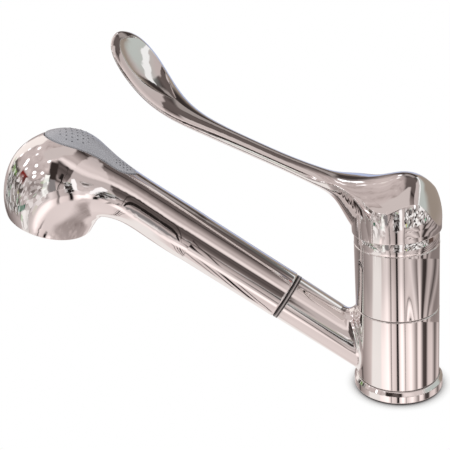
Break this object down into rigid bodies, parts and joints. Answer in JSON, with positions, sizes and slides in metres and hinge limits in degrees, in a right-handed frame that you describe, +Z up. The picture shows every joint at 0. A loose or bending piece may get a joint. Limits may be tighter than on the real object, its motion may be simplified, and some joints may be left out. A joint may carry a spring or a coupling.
{
  "type": "pull-out mixer tap",
  "caption": "Single-lever kitchen mixer tap: round column with swivelling inclined spout, pull-out spray handset with rocker switch, and a long spoon-shaped lever on top.",
  "frame": {"origin": "centre of the base where it stands on the worktop", "axes": "+Z up along the column, +X horizontally below the spout, from the column towards the outlet"},
  "size_m": [0.2827, 0.0781, 0.218],
  "materials": {
    "chrome": "polished chrome plating on brass or zinc",
    "chromed_plastic": "polished chrome plating on moulded ABS",
    "brass": "machined",
    "seal": "matt",
    "bearing": "moulded acetal",
    "cartridge_plastic": "moulded",
    "ceramic": "lapped ceramic",
    "black_plastic": "satin moulded",
    "hose_braid": "braided nylon hose",
    "pin_steel": "ground",
    "spray_rubber": "soft moulded",
    "soft_grey": "soft-touch moulding",
    "index_colour": "moulded"
  },
  "bodies": {
    "base": {"base_gasket": "seal", "base_ring": "chrome", "foot_plate": "brass", "inlet_pipe_hot": "brass", "inlet_pipe_cold": "brass", "mixer_body": "chrome", "slide_ring_lower": "bearing", "slide_ring_upper": "bearing", "cartridge_seal": "seal", "cartridge_body": "cartridge_plastic", "fixed_disc": "ceramic", "retaining_nut": "brass", "dome_collar": "chrome"},
    "spout": {"spout_sleeve": "chrome", "hose_bush": "black_plastic"},
    "hose": {"pull_out_hose": "hose_braid", "hose_nut": "brass"},
    "handset": {"handset_shell": "chromed_plastic", "rocker_pin": "pin_steel", "valve_block": "cartridge_plastic", "spray_plate": "spray_rubber", "spray_gasket": "seal", "aerator": "chromed_plastic", "check_valve": "cartridge_plastic", "waterway": "cartridge_plastic"},
    "rocker": {"rocker_pad": "soft_grey"},
    "diverter": {"diverter_spool": "bearing"},
    "carrier": {"lever_carrier": "cartridge_plastic", "pivot_pin": "pin_steel"},
    "disc": {"moving_disc": "ceramic", "disc_driver": "bearing"},
    "lever": {"lever_handle": "chrome", "lever_stem": "brass", "grub_screw": "pin_steel", "index_plug": "index_colour"}
  },
  "joints": [
    {"name": "spout_swivel", "type": "hinge", "parent": "base", "child": "spout", "pos_m": [0, 0, 0.03], "axis": [0, 0, 1], "range_deg": [-60, 60]},
    {"name": "handset_pull", "type": "slide", "parent": "spout", "child": "hose", "axis": [0.8411, 0, 0.5408], "range_m": [0, 0.4], "deforming": ["pull_out_hose"]},
    {"name": "handset_turn", "type": "hinge", "parent": "hose", "child": "handset", "pos_m": [0.0757, 0, 0.05914], "axis": [0.8411, 0, 0.5408], "range_deg": [-90, 90]},
    {"name": "rocker_tilt", "type": "hinge", "parent": "handset", "child": "rocker", "pos_m": [0.18703, 0, 0.14856], "axis": [0, 1, 0], "range_deg": [-2, 2]},
    {"name": "diverter_slide", "type": "slide", "parent": "handset", "child": "diverter", "axis": [0.3753, 0, -0.9269], "range_m": [-0.0008, 0.0008]},
    {"name": "temperature_turn", "type": "hinge", "parent": "base", "child": "carrier", "pos_m": [0, 0, 0.0988], "axis": [0, 0, 1], "range_deg": [-35, 55]},
    {"name": "flow_lift", "type": "hinge", "parent": "carrier", "child": "lever", "pos_m": [0, 0, 0.0988], "axis": [-0.1736, -0.9848, 0], "range_deg": [0, 20]},
    {"name": "disc_slide", "type": "slide", "parent": "carrier", "child": "disc", "axis": [0.9848, -0.1736, 0], "range_m": [0, 0.0043]}
  ],
  "couplings": [
    {"joint": "disc_slide", "follows": "flow_lift", "m_per_rad": 0.01225},
    {"joint": "diverter_slide", "follows": "rocker_tilt", "m_per_rad": 0.0223}
  ]
}
